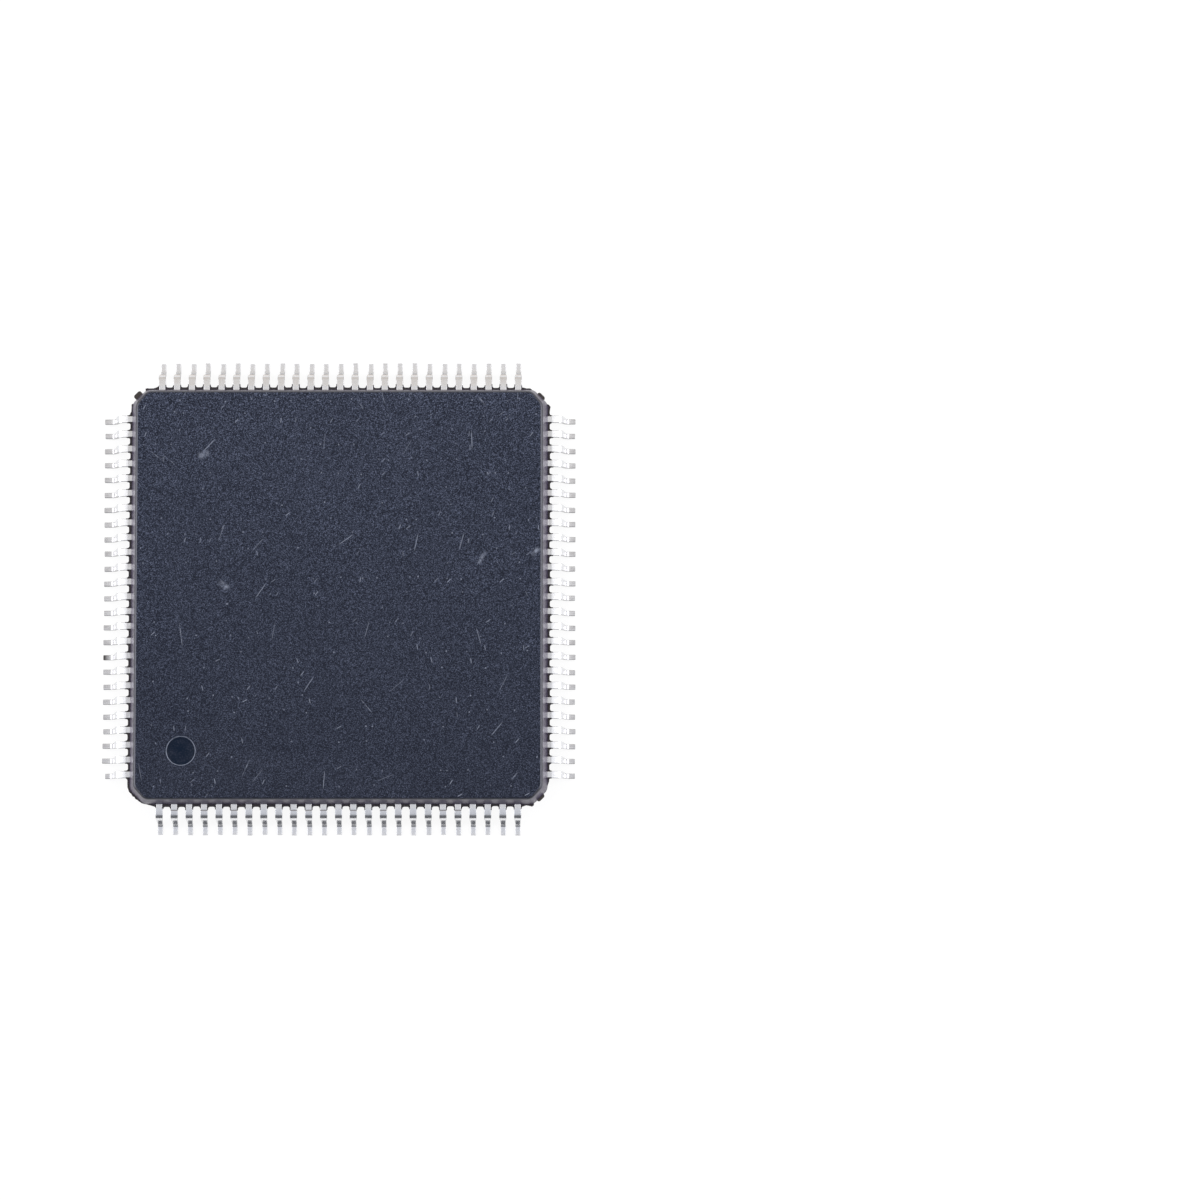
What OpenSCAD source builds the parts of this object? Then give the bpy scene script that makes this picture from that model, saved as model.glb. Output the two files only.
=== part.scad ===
// Surface-mount integrated circuit in a flat square moulded package with gull-wing leads on
// all four sides, with the lead frame, chip and bond wires that the resin encloses.
// The origin is the centre of the seating plane under the feet, and +Z is up.

/* [Moulded body] */
// Width and length of the body at its parting line
body_w = 14; // [12:0.1:20]
// Thickness of the body
body_t = 1.4; // [1.2:0.05:1.8]
// Gap under the body when the feet stand on a board
standoff = 0.1; // [0.05:0.01:0.15]
// Slant of the side walls above and below the parting line, in degrees
wall_draft = 14; // [5:1:16]
// Rounding of the body's top and bottom edges
edge_round = 0.1; // [0.03:0.01:0.12]
// Leg of the chamfer on each corner
corner_leg = 0.48; // [0.45:0.01:0.6]
// Rounding between a chamfer and the sides beside it
corner_round = 0.32; // [0.25:0.01:0.5]

/* [Marks in the faces] */
// Diameter of the polished index dimple in the top face
dimple_d = 0.97; // [0.6:0.01:1.2]
// Depth of the index dimple
dimple_depth = 0.07; // [0.03:0.01:0.12]
// Distance of the index dimple's centre from the two sides beside it
dimple_inset = 1.75; // [1.4:0.05:2.5]
// Diameter of the two large ejector marks in the underside
ejector_d = 1.5; // [1:0.05:2]
// Diameter of the small ejector mark under the index corner
small_ejector_d = 0.97; // [0.6:0.01:1.2]
// Depth of the ejector marks
ejector_depth = 0.05; // [0.02:0.01:0.1]
// Distance of the ejector marks' centres from the two sides beside them
ejector_inset = 1.75; // [1.4:0.05:2.5]
// Width of the raised bar across the small ejector mark
ejector_bar_w = 0.2; // [0.1:0.01:0.3]

/* [Leads] */
// Distance between the centres of neighbouring leads
lead_pitch = 0.5; // [0.4:0.01:0.8]
// Least distance from the end of the body's side to the centre of the last lead
row_end = 1; // [0.95:0.05:2]
// Thickness of the lead frame's sheet
lead_t = 0.127; // [0.1:0.001:0.15]
// Reach of a lead beyond the body's side
lead_reach = 1; // [0.9:0.01:1.2]
// Width of a lead where it leaves the body
neck_w = 0.205; // [0.17:0.005:0.24]
// Length of the neck outside the body
neck_len = 0.17; // [0.12:0.01:0.2]
// Length over which the neck widens to the shoulder
neck_step = 0.02; // [0.01:0.005:0.04]
// Width of the shoulder where the bar between the leads was cut away
shoulder_w = 0.235; // [0.2:0.005:0.27]
// Distance from the body's side to the end of the shoulder
shoulder_end = 0.43; // [0.35:0.01:0.5]
// Length over which the shoulder narrows to the foot
shoulder_taper = 0.12; // [0.05:0.01:0.15]
// Width of the slope and the foot
foot_w = 0.165; // [0.14:0.005:0.2]
// Cut on the two corners of a foot's end
foot_cut = 0.03; // [0.01:0.005:0.05]
// Length of the flat part of a lead before its first bend
flat_len = 0.24; // [0.2:0.01:0.3]
// Inside radius of both bends
bend_r = 0.13; // [0.1:0.01:0.16]
// Slope of a lead between its bends, in degrees from level
lead_slope = 77; // [65:1:82]

/* [Flash between the leads] */
// How far the flash stands out in the middle between two leads
flash_out = 0.07; // [0.03:0.01:0.1]
// How far the flash runs out along the flanks of a lead
flank_out = 0.16; // [0.12:0.01:0.18]
// Thickness of the flash on a lead's flank
flank_t = 0.028; // [0.01:0.002:0.04]
// Rounding in the corners of the punched slot
slot_round = 0.07; // [0.03:0.01:0.08]
// How far the flash stands out beside the corners
corner_flash_out = 0.055; // [0.03:0.005:0.1]
// Length of the strip of flash from the last lead towards a corner
corner_flash_len = 0.4; // [0.25:0.01:0.45]
// Width of the gate scar on the index corner
gate_w = 0.56; // [0.4:0.01:0.6]
// How far the gate scar stands out
gate_out = 0.07; // [0.03:0.01:0.12]
// Depth of resin over the end of the bar behind the gate scar
gate_cover = 0.1; // [0.05:0.01:0.2]

/* [Lead frame inside] */
// How far the chip pad reaches beyond the chip on each side
pad_margin = 1.05; // [0.3:0.05:1.2]
// How far the chip pad lies below the leads
pad_downset = 0.23; // [0.1:0.01:0.3]
// Gap from the chip pad to the tips of the leads
tip_gap = 0.8; // [0.4:0.05:1]
// Width of a lead at its inner tip
tip_w = 0.14; // [0.1:0.005:0.16]
// Distance from the last lead tip to the corner of the square that the tips form
tip_corner = 0.64; // [0.55:0.01:0.9]
// Straight length of a lead inside the body before it turns towards the chip
straight_in = 0.45; // [0.3:0.05:0.6]
// Width of the four bars that hold the chip pad
tie_w = 0.3; // [0.22:0.01:0.32]
// Flat length of a bar beside the chip pad before it rises
tie_flat = 0.15; // [0.1:0.01:0.3]
// How far the longest cut bar end stands out of its corner
long_stub = 0.155; // [0.05:0.005:0.2]
// How far the two short cut bar ends stand out of their corners
short_stub = 0.085; // [0.03:0.005:0.15]
// Rounding of the torn corners of the bar ends
stub_round = 0.07; // [0.02:0.01:0.1]

/* [Chip and bond wires] */
// Width and length of the chip
die_w = 5.5; // [3.5:0.1:7]
// Thickness of the chip
die_t = 0.3; // [0.2:0.01:0.4]
// Thickness of the glue under the chip
attach_t = 0.025; // [0.015:0.005:0.05]
// How far the glue reaches beyond the chip
attach_margin = 0.05; // [0.02:0.01:0.1]
// Diameter of a bond wire
wire_d = 0.03; // [0.02:0.002:0.04]
// Diameter of the ball that welds a wire to the chip
ball_d = 0.07; // [0.05:0.005:0.08]
// Height of the ball
ball_h = 0.02; // [0.01:0.002:0.03]
// Height of a wire's loop above the chip
loop_h = 0.2; // [0.17:0.01:0.25]
// Radius of the bend at the top of a loop
loop_r = 0.12; // [0.08:0.01:0.13]
// Distance from the chip's edge to the row of balls
ball_inset = 0.1; // [0.06:0.01:0.2]
// Distance from the last ball to the chip's corner along the edge
ball_corner = 0.35; // [0.25:0.01:0.5]
// Distance from a lead's tip to the middle of the wire's weld on it
weld_reach = 0.16; // [0.13:0.01:0.25]

/* [Hidden] */
$fn = 48;

// Sides go anticlockwise from +X. Corner 0 is between +X and +Y, and each corner follows its side.
SIDES = ["east", "north", "west", "south"];
function side_number(side) = search([side], SIDES)[0];
stub_lengths = [short_stub, long_stub, -gate_cover, short_stub];
INDEX_CORNER = 2;

// Points on each rounded edge and each bend, less one, and turns of the wall from a side to a chamfer
round_steps = 5;
bend_steps = 8;
corner_steps = 3;
// Depth by which one moulded shape runs into the next
sink = 0.05;

half = body_w / 2;
body_bottom = standoff;
body_top = standoff + body_t;
frame_bottom = standoff + (body_t - lead_t) / 2;
frame_top = frame_bottom + lead_t;

leads_per_side = floor((body_w - 2 * row_end) / lead_pitch + 0.001) + 1;
last_lead = (leads_per_side - 1) / 2;
lead_numbers = [for (i = [0 : leads_per_side - 1]) i - last_lead];
gap_w = lead_pitch - neck_w;
slot_w = gap_w - 2 * flank_t;
slot_r = min(slot_round, slot_w / 2);

pad_w = die_w + 2 * pad_margin;
pad_bottom = frame_bottom - pad_downset;
glue_bottom = pad_bottom + lead_t;
die_bottom = glue_bottom + attach_t;
die_top = die_bottom + die_t;

tip_at = pad_w / 2 + tip_gap;
fan_at = half - straight_in;
tip_pitch = (tip_at - tip_corner) / last_lead;
ball_pitch = (die_w / 2 - ball_corner) / last_lead;

// Distance of the chamfers from the centre
chamfer_at = (body_w - corner_leg) / sqrt(2);
// Place of the axis of a corner rounding: half the flat length of a side, and the distance of that side
side_flat = half - corner_leg - corner_round * tan(22.5);
round_at = half - corner_round;

// Points on an arc about c from angle a to angle b
function arc(c, r, a, b, steps) =
    [for (i = [0 : steps]) c + r * [cos(a + (b - a) * i / steps), sin(a + (b - a) * i / steps)]];

// Points of one slanted wall from the bottom face to the top, with the parting line at distance d
wall_run = (frame_bottom - body_bottom) * tan(wall_draft);
wall_tangent = edge_round * tan((90 - wall_draft) / 2);
function wall(d) = concat(
    arc([d - wall_run - wall_tangent, body_bottom + edge_round], edge_round, -90, -wall_draft, round_steps),
    [[d, frame_bottom], [d, frame_top]],
    arc([d - wall_run - wall_tangent, body_top - edge_round], edge_round, wall_draft, 90, round_steps)
);

// Directions that the walls face, and the distance of each from the centre: sides, chamfers and roundings
wall_turns = [for (i = [0 : 4 * corner_steps - 1]) 45 * i / corner_steps];
function wall_at(turn) =
    let (a = min(turn % 90, 90 - turn % 90))
        round_at * cos(a) + side_flat * sin(a) + corner_round;

// Long bar between two opposite walls at distance d
module wall_pair(d) {
    rotate([90, 0, 0])
        linear_extrude(height = 2 * body_w, center = true)
            polygon(concat(wall(d), [for (p = reversed(wall(d))) [-p.x, p.y]]));
}

// What all the pairs of walls enclose
module body_block() {
    intersection_for (turn = wall_turns)
        rotate([0, 0, turn])
            wall_pair(wall_at(turn));
}

// Outline of the flash between two leads, open towards the slot that the trimming punch left
slot_end = half + flash_out + slot_r;
slot_side = slot_w / 2 - slot_r;
flash_outline = concat(
    [[half - sink, -gap_w / 2], [half + flank_out, -gap_w / 2], [half + flank_out, -slot_w / 2]],
    arc([slot_end, -slot_side], slot_r, 270, 180, round_steps),
    arc([slot_end, slot_side], slot_r, 180, 90, round_steps),
    [[half + flank_out, slot_w / 2], [half + flank_out, gap_w / 2], [half - sink, gap_w / 2]]
);

// Outline of the strip of flash from the last lead towards the corner, with a round end
strip_from = last_lead * lead_pitch + neck_w / 2;
strip_to = min(strip_from + corner_flash_len, half - corner_leg);
strip_slot = [half + corner_flash_out + slot_r, strip_from + flank_t + slot_r];
strip_outline = concat(
    [[half - sink, strip_from], [half + flank_out, strip_from], [half + flank_out, strip_from + flank_t]],
    arc(strip_slot, slot_r, 270, 180, round_steps),
    arc([half, strip_to - corner_flash_out], corner_flash_out, 0, 90, round_steps),
    [[half - sink, strip_to]]
);

module flash_row(side) {
    rotate([0, 0, 90 * side_number(side)])
        translate([0, 0, frame_bottom])
            linear_extrude(height = lead_t) {
                for (i = [0 : leads_per_side - 2])
                    translate([0, (lead_numbers[i] + 0.5) * lead_pitch])
                        polygon(flash_outline);
                polygon(strip_outline);
                mirror([0, 1])
                    polygon(strip_outline);
            }
}

// Broken edge that is left where the resin ran into the mould
module gate_scar() {
    rotate([0, 0, 45 + 90 * INDEX_CORNER])
        translate([chamfer_at, 0, frame_bottom])
            linear_extrude(height = lead_t)
                polygon([
                    [-sink, -gate_w / 2],
                    [gate_out * 0.6, -gate_w * 0.4],
                    [gate_out, -gate_w * 0.1],
                    [gate_out * 0.7, gate_w * 0.15],
                    [gate_out * 0.9, gate_w * 0.35],
                    [-sink, gate_w / 2]
                ]);
}

module index_dimple() {
    at = half - dimple_inset;
    translate([-at, -at, body_top - dimple_depth])
        cylinder(d = dimple_d, h = dimple_depth + sink);
}

module ejector_mark(x_side, y_side, d) {
    at = half - ejector_inset;
    translate([x_side * at, y_side * at, body_bottom - sink])
        cylinder(d = d, h = sink + ejector_depth);
}

module small_ejector_mark() {
    at = half - ejector_inset;
    difference() {
        ejector_mark(-1, -1, small_ejector_d);
        translate([-half, -at - ejector_bar_w / 2, body_bottom - 2 * sink])
            cube([half, ejector_bar_w, 3 * sink + ejector_depth]);
    }
}

module moulded_body() {
    color("#393e4a")
        difference() {
            union() {
                body_block();
                for (side = SIDES)
                    flash_row(side);
                gate_scar();
            }
            index_dimple();
            ejector_mark(-1, 1, ejector_d);
            ejector_mark(1, -1, ejector_d);
            small_ejector_mark();
            for (side = SIDES) {
                lead_row(side);
                wire_row(side);
            }
            chip_pad();
            chip_glue();
            chip();
        }
}

// Side view of a lead: level from its tip, down through two bends, and level again at the foot
bend_out = bend_r + lead_t;
bend_1_at = half + flat_len;
bend_run = (bend_r + bend_out) * sin(lead_slope);
slope_drop = frame_bottom - (bend_r + bend_out) * (1 - cos(lead_slope));
bend_2_at = bend_1_at + bend_run + slope_drop / tan(lead_slope);
lead_profile = concat(
    [[tip_at, frame_top]],
    arc([bend_1_at, frame_bottom - bend_r], bend_out, 90, 90 - lead_slope, bend_steps),
    arc([bend_2_at, bend_out], bend_r, 270 - lead_slope, 270, bend_steps),
    [[half + lead_reach, lead_t], [half + lead_reach, 0]],
    arc([bend_2_at, bend_out], bend_out, 270, 270 - lead_slope, bend_steps),
    arc([bend_1_at, frame_bottom - bend_r], bend_r, 90 - lead_slope, 90, bend_steps),
    [[tip_at, frame_bottom]]
);

// Top view of lead number n: fanned in towards the chip, and straight from the body's edge out
function lead_edge(n, s) = [
    [tip_at, n * tip_pitch + s * tip_w / 2],
    [fan_at, n * lead_pitch + s * neck_w / 2],
    [half + neck_len, n * lead_pitch + s * neck_w / 2],
    [half + neck_len + neck_step, n * lead_pitch + s * shoulder_w / 2],
    [half + shoulder_end, n * lead_pitch + s * shoulder_w / 2],
    [half + shoulder_end + shoulder_taper, n * lead_pitch + s * foot_w / 2],
    [half + lead_reach - foot_cut, n * lead_pitch + s * foot_w / 2],
    [half + lead_reach, n * lead_pitch + s * (foot_w / 2 - foot_cut)]
];
function reversed(points) = [for (i = [len(points) - 1 : -1 : 0]) points[i]];

module lead_row(side) {
    rotate([0, 0, 90 * side_number(side)])
        intersection() {
            rotate([90, 0, 0])
                linear_extrude(height = 2 * body_w, center = true)
                    polygon(lead_profile);
            translate([0, 0, -sink])
                linear_extrude(height = frame_top + 2 * sink)
                    for (n = lead_numbers)
                        polygon(concat(lead_edge(n, -1), reversed(lead_edge(n, 1))));
        }
}

module leads_east() {
    color("#c9c8c6") lead_row("east");
}

module leads_north() {
    color("#c9c8c6") lead_row("north");
}

module leads_west() {
    color("#c9c8c6") lead_row("west");
}

module leads_south() {
    color("#c9c8c6") lead_row("south");
}

// Bar from the chip pad's corner up to the level of the leads and out through the body's corner
tie_root = pad_w / sqrt(2);
tie_rise = tie_root + tie_flat;
tie_offset = lead_t * tan(22.5);
tie_profile = [
    [tie_root - tie_w, pad_bottom],
    [tie_rise, pad_bottom],
    [tie_rise + pad_downset, frame_bottom],
    [body_w, frame_bottom],
    [body_w, frame_top],
    [tie_rise + pad_downset - tie_offset, frame_top],
    [tie_rise - tie_offset, glue_bottom],
    [tie_root - tie_w, glue_bottom]
];
module tie_bar(corner) {
    round_end = chamfer_at + stub_lengths[corner] - stub_round;
    round_side = tie_w / 2 - stub_round;
    rotate([0, 0, 45 + 90 * corner])
        intersection() {
            rotate([90, 0, 0])
                linear_extrude(height = 2 * tie_w, center = true)
                    polygon(tie_profile);
            linear_extrude(height = body_top)
                polygon(concat(
                    [[0, -tie_w / 2]],
                    arc([round_end, -round_side], stub_round, 270, 360, round_steps),
                    arc([round_end, round_side], stub_round, 0, 90, round_steps),
                    [[0, tie_w / 2]]
                ));
        }
}

module chip_pad() {
    color("#b87a4b")
        union() {
            translate([-pad_w / 2, -pad_w / 2, pad_bottom])
                cube([pad_w, pad_w, lead_t]);
            for (corner = [0 : 3])
                tie_bar(corner);
        }
}

module chip_glue() {
    glue_w = die_w + 2 * attach_margin;
    color("#b9b4a6")
        translate([-glue_w / 2, -glue_w / 2, glue_bottom])
            cube([glue_w, glue_w, attach_t]);
}

module chip() {
    color("#5b6470")
        translate([-die_w / 2, -die_w / 2, die_bottom])
            cube([die_w, die_w, die_t]);
}

// One wire: a ball on the chip, a neck, a bend over the top and a straight run down to the lead
module bond_wire(n) {
    ball_at = [die_w / 2 - ball_inset, n * ball_pitch];
    fan = (fan_at - tip_at - weld_reach) / (fan_at - tip_at);
    weld_at = [tip_at + weld_reach, n * (lead_pitch + (tip_pitch - lead_pitch) * fan)];
    span = norm(weld_at - ball_at);
    bend_z = die_top + loop_h - loop_r;
    drop = bend_z - frame_top;
    run = span - loop_r;
    straight = sqrt(drop * drop + run * run - loop_r * loop_r);
    slope = atan2(drop, run) + atan2(loop_r, straight);
    translate([ball_at.x, ball_at.y, 0])
        rotate([0, 0, atan2(weld_at.y - ball_at.y, weld_at.x - ball_at.x)]) {
            translate([0, 0, die_top])
                cylinder(d = ball_d, h = ball_h);
            translate([0, 0, die_top + ball_h])
                cylinder(d = wire_d, h = bend_z - die_top - ball_h);
            translate([loop_r, 0, bend_z])
                rotate([90, 0, 0])
                    rotate([0, 0, 90 - slope]) {
                        rotate_extrude(angle = 90 + slope)
                            translate([loop_r, 0])
                                circle(d = wire_d);
                        translate([loop_r, 0, 0])
                            rotate([90, 0, 0])
                                cylinder(d = wire_d, h = straight + weld_reach);
                    }
        }
}

// The wires of one side, pressed flat on the tips of the leads
module wire_row(side) {
    rotate([0, 0, 90 * side_number(side)])
        difference() {
            for (n = lead_numbers)
                bond_wire(n);
            translate([tip_at, -half, frame_top - body_t])
                cube([half, body_w, body_t]);
        }
}

module bond_wires_east() {
    color("#d8b25a") wire_row("east");
}

module bond_wires_north() {
    color("#d8b25a") wire_row("north");
}

module bond_wires_west() {
    color("#d8b25a") wire_row("west");
}

module bond_wires_south() {
    color("#d8b25a") wire_row("south");
}

moulded_body();
leads_east();
leads_north();
leads_west();
leads_south();
chip_pad();
chip_glue();
chip();
bond_wires_east();
bond_wires_north();
bond_wires_west();
bond_wires_south();
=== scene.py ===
"""Looks of a flat square integrated circuit, laid out as a Blender add-on.

The packed parts are the fixed frame. The moulded body and the four rows of leads are remade as smooth
meshes with the small irregularities of a used part, and every piece gets a procedural finish.
"""

import math
import random
from collections import namedtuple
from functools import reduce

import bmesh
import bpy
from bpy.props import FloatProperty, FloatVectorProperty, IntProperty, PointerProperty
from mathutils import Matrix, Vector


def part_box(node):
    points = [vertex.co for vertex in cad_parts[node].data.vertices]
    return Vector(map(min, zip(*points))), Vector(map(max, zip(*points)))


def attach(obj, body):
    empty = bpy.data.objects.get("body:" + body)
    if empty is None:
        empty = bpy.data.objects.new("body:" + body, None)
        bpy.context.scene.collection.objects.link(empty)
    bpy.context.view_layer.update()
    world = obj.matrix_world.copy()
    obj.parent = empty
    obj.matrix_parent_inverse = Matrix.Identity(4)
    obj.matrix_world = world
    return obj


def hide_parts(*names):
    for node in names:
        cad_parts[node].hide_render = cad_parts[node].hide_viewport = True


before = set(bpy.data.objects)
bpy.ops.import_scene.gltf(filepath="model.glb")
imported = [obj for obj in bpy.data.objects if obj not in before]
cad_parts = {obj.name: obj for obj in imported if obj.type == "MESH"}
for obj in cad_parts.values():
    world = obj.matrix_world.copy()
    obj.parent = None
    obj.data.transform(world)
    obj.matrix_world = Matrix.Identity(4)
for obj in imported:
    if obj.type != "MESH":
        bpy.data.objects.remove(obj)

bl_info = {
    "name": "Integrated circuit",
    "version": (1, 0, 0),
    "blender": (4, 5, 0),
    "location": "View3D > Sidebar > Chip",
    "description": "Builds a flat square integrated circuit with gull-wing leads, and its studio",
    "category": "Object",
}

MM = 0.001
WHOLE = 2 * math.pi
QUARTER = WHOLE / 4
EIGHTH = WHOLE / 8
BODY = "root"
SIDES = ("east", "north", "west", "south")
# What each point of a lead carries for its finish
TONE = "lead_tone"
BURNT = "burnt"
# Rounding of the cut ends of the bars that hold the chip pad
CUT_EDGE = 0.02 * MM

# What the frame gives: the whole box, the faces of the body and the reach and level of the leads
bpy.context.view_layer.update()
BODY_LOW, BODY_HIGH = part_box("moulded_body")
LEAD_LOW, LEAD_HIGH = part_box("leads_east")


def length(name, description, default):
    """A size in metres."""
    return FloatProperty(
        name=name, description=description, default=default, min=0, precision=6, unit="LENGTH"
    )


def angle(name, description, degrees):
    """An angle, given in degrees and kept in radians."""
    return FloatProperty(
        name=name, description=description, default=math.radians(degrees), subtype="ANGLE"
    )


def colour(name, description, default):
    """A colour in linear light."""
    return FloatVectorProperty(
        name=name, description=description, default=default, size=3, min=0, max=1, subtype="COLOR"
    )


def amount(name, description, default):
    """A plain number with no unit."""
    return FloatProperty(name=name, description=description, default=default, min=0, precision=3)


class ChipBody(bpy.types.PropertyGroup):
    """Sizes of the moulded body"""

    width: length("Width", "Width of the body at its parting line", 14 * MM)
    draft: angle("Draft", "Slant of the side walls", 14)
    side_run: amount("Side run", "Share of the draft's run on the left and right walls", 1.12)
    end_run: amount("End run", "Share of the draft's run on the front and back walls", 0.85)
    edge_round: length("Edge rounding", "Rounding of the top and bottom edges", 0.1 * MM)
    corner_leg: length("Corner leg", "Leg of the chamfer on each corner", 0.48 * MM)
    corner_round: length("Corner rounding", "Rounding between a chamfer and a side", 0.32 * MM)
    mark_inset: length("Mark inset", "Distance of the round marks from the sides", 1.75 * MM)
    rim_round: length("Rim rounding", "Rounding of the rims of the round marks", 0.03 * MM)
    dimple_width: length("Dimple width", "Diameter of the index dimple", 0.97 * MM)
    dimple_depth: length("Dimple depth", "Depth of the index dimple", 0.07 * MM)
    ejector_width: length("Ejector width", "Diameter of the large ejector marks", 1.5 * MM)
    small_ejector_width: length("Small ejector width", "Diameter of the small mark", 0.97 * MM)
    ejector_depth: length("Ejector depth", "Depth of the ejector marks", 0.05 * MM)
    ejector_bar: length("Ejector bar", "Width of the bar across the small mark", 0.2 * MM)


class ChipFlash(bpy.types.PropertyGroup):
    """Sizes of the thin resin between the leads and at the corners"""

    out: length("Reach", "How far the flash stands out between two leads", 0.07 * MM)
    flank_out: length("Flank reach", "How far it runs out along a lead", 0.16 * MM)
    flank_thickness: length("Flank thickness", "Thickness on a lead's flank", 0.028 * MM)
    slot_round: length("Slot rounding", "Rounding in the corners of the punched slot", 0.07 * MM)
    corner_out: length("Corner reach", "How far it stands out beside the corners", 0.055 * MM)
    gate_out: length("Gate reach", "How far the gate scar stands out", 0.07 * MM)
    ragged: amount("Raggedness", "How much the broken edges vary, as a share of their reach", 0.22)


class ChipLeads(bpy.types.PropertyGroup):
    """Sizes of the leads"""

    count: IntProperty(name="Count", description="Leads on each side", default=25, min=2)
    pitch: length("Pitch", "Distance between neighbouring leads", 0.5 * MM)
    thickness: length("Thickness", "Thickness of the lead frame", 0.127 * MM)
    edge_round: length("Edge rounding", "Rounding of a lead's long edges", 0.01 * MM)
    tip_width: length("Tip width", "Width at the inner tip", 0.14 * MM)
    tip_corner: length("Tip corner", "Distance from the last tip to the corner of the tips", 0.64 * MM)
    straight_in: length("Straight inside", "Straight length inside the body", 0.45 * MM)
    neck_width: length("Neck width", "Width where a lead leaves the body", 0.205 * MM)
    neck_length: length("Neck length", "Length of the neck", 0.12 * MM)
    neck_step: length("Neck step", "Length over which the neck widens", 0.02 * MM)
    shoulder_width: length("Shoulder width", "Width of the shoulder", 0.235 * MM)
    shoulder_end: length("Shoulder end", "Distance from the body to the shoulder's end", 0.43 * MM)
    shoulder_taper: length("Shoulder taper", "Length over which it narrows", 0.12 * MM)
    foot_width: length("Foot width", "Width of the foot", 0.165 * MM)
    flat: length("Flat", "Flat length before the first bend", 0.31 * MM)
    bend_radius: length("Bend radius", "Inside radius of both bends", 0.1 * MM)
    droop: angle("Droop", "Downward tilt of the shoulder, from the neck to the first bend", 5.5)
    slope: angle("Slope", "Slope between the bends", 78)
    skew: amount("Skew", "Largest sideways lean of a lead, as a slope", 0.018)
    shortfall: amount("Shortfall", "Largest share by which a foot is cut short", 0.10)


class ChipColours(bpy.types.PropertyGroup):
    """Colours of the finishes"""

    haze: colour("Haze", "Dust and haze in the polished marks", (0.018, 0.023, 0.040))
    grain: colour("Grain", "Lightest grains in the resin's face", (0.120, 0.143, 0.215))
    pit: colour("Pit", "Dark pits between the grains", (0.0, 0.0027, 0.0125))
    # Also the colour of the painted highlight on the rims of the polished marks
    scuff: colour("Scuff", "Pale scuffs on the resin", (0.300, 0.335, 0.420))
    wall: colour("Wall", "Smoother resin of the walls", (0.046, 0.034, 0.070))
    polish: colour("Polish", "Polished resin in the dimple", (0.003, 0.009, 0.022))
    rim: colour("Rim", "Smooth resin on the rounded edges", (0.006, 0.007, 0.012))
    flash: colour("Flash", "Burnt resin between the leads", (0.014, 0.010, 0.010))
    tin: colour("Tin", "Plating of the leads", (0.79, 0.795, 0.81))
    # Also the colour of the painted shade on the feet of the left and right rows
    soil_and_shade: colour("Dull tin", "Worn and soiled plating", (0.34, 0.32, 0.31))
    # Also the colour of the painted shade at the bends of the back row
    stain_and_bend_shade: colour("Stain", "Brown stain on the plating", (0.62, 0.50, 0.40))
    # Also the colour of the painted shade on the sides of the leads
    tarnish_and_shade: colour("Tarnish", "Dark tarnish of cut ends", (0.040, 0.034, 0.030))
    copper: colour("Copper", "Bare lead frame", (0.62, 0.33, 0.19))
    glue: colour("Glue", "Silver-filled glue", (0.42, 0.41, 0.38))
    silicon: colour("Silicon", "Face of the chip", (0.07, 0.09, 0.13))
    gold: colour("Gold", "Bond wires", (0.86, 0.60, 0.22))


class ChipStage(bpy.types.PropertyGroup):
    """Floor, lamps and camera"""

    floor_radius: length("Floor radius", "Radius of the round floor", 0.6)
    rim_height: length("Rim height", "Height of the curved rim of the floor", 0.12)
    aim_right: length("Aim right", "How far right of the part the camera aims", 8.758 * MM)
    aim_front: length("Aim front", "How far in front of the part the camera aims", 0.04 * MM)
    distance: length("Distance", "Distance of the camera", 200 * MM)
    elevation: angle("Elevation", "Height of the camera above the floor", 84.3)
    lens: amount("Lens", "Focal length of the camera in millimetres", 177.835)
    room_front: amount("Room in front", "Brightness of the room on the camera's side", 0.16)
    room_back: amount("Room behind", "Brightness of the room behind the part", 0.79)
    side_light: amount("Side light", "Brightness of the soft boxes to the left and right", 2.7)
    high_light: amount("High light", "Brightness of the soft boxes high on the left and right", 0.7)


def operator_pair(operation):
    """The two methods of an operator, for a wire on its left and on its right."""

    def forward(self, other):
        return self.finish.maths(operation, self, other)

    def reflected(self, other):
        return self.finish.maths(operation, other, self)

    return forward, reflected


class Wire:
    """An output socket of a node tree. Arithmetic on it adds Math nodes."""

    def __init__(self, finish, socket):
        self.finish = finish
        self.socket = socket

    def beside(self, name):
        """Another output of the same node."""
        return Wire(self.finish, self.socket.node.outputs[name])

    __add__, __radd__ = operator_pair("ADD")
    __sub__, __rsub__ = operator_pair("SUBTRACT")
    __mul__, __rmul__ = operator_pair("MULTIPLY")
    __pow__, __rpow__ = operator_pair("POWER")

    def __abs__(self):
        return self.finish.maths("ABSOLUTE", self)

    def __lt__(self, other):
        return self.finish.maths("LESS_THAN", self, other)

    def __gt__(self, other):
        return self.finish.maths("GREATER_THAN", self, other)


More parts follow.
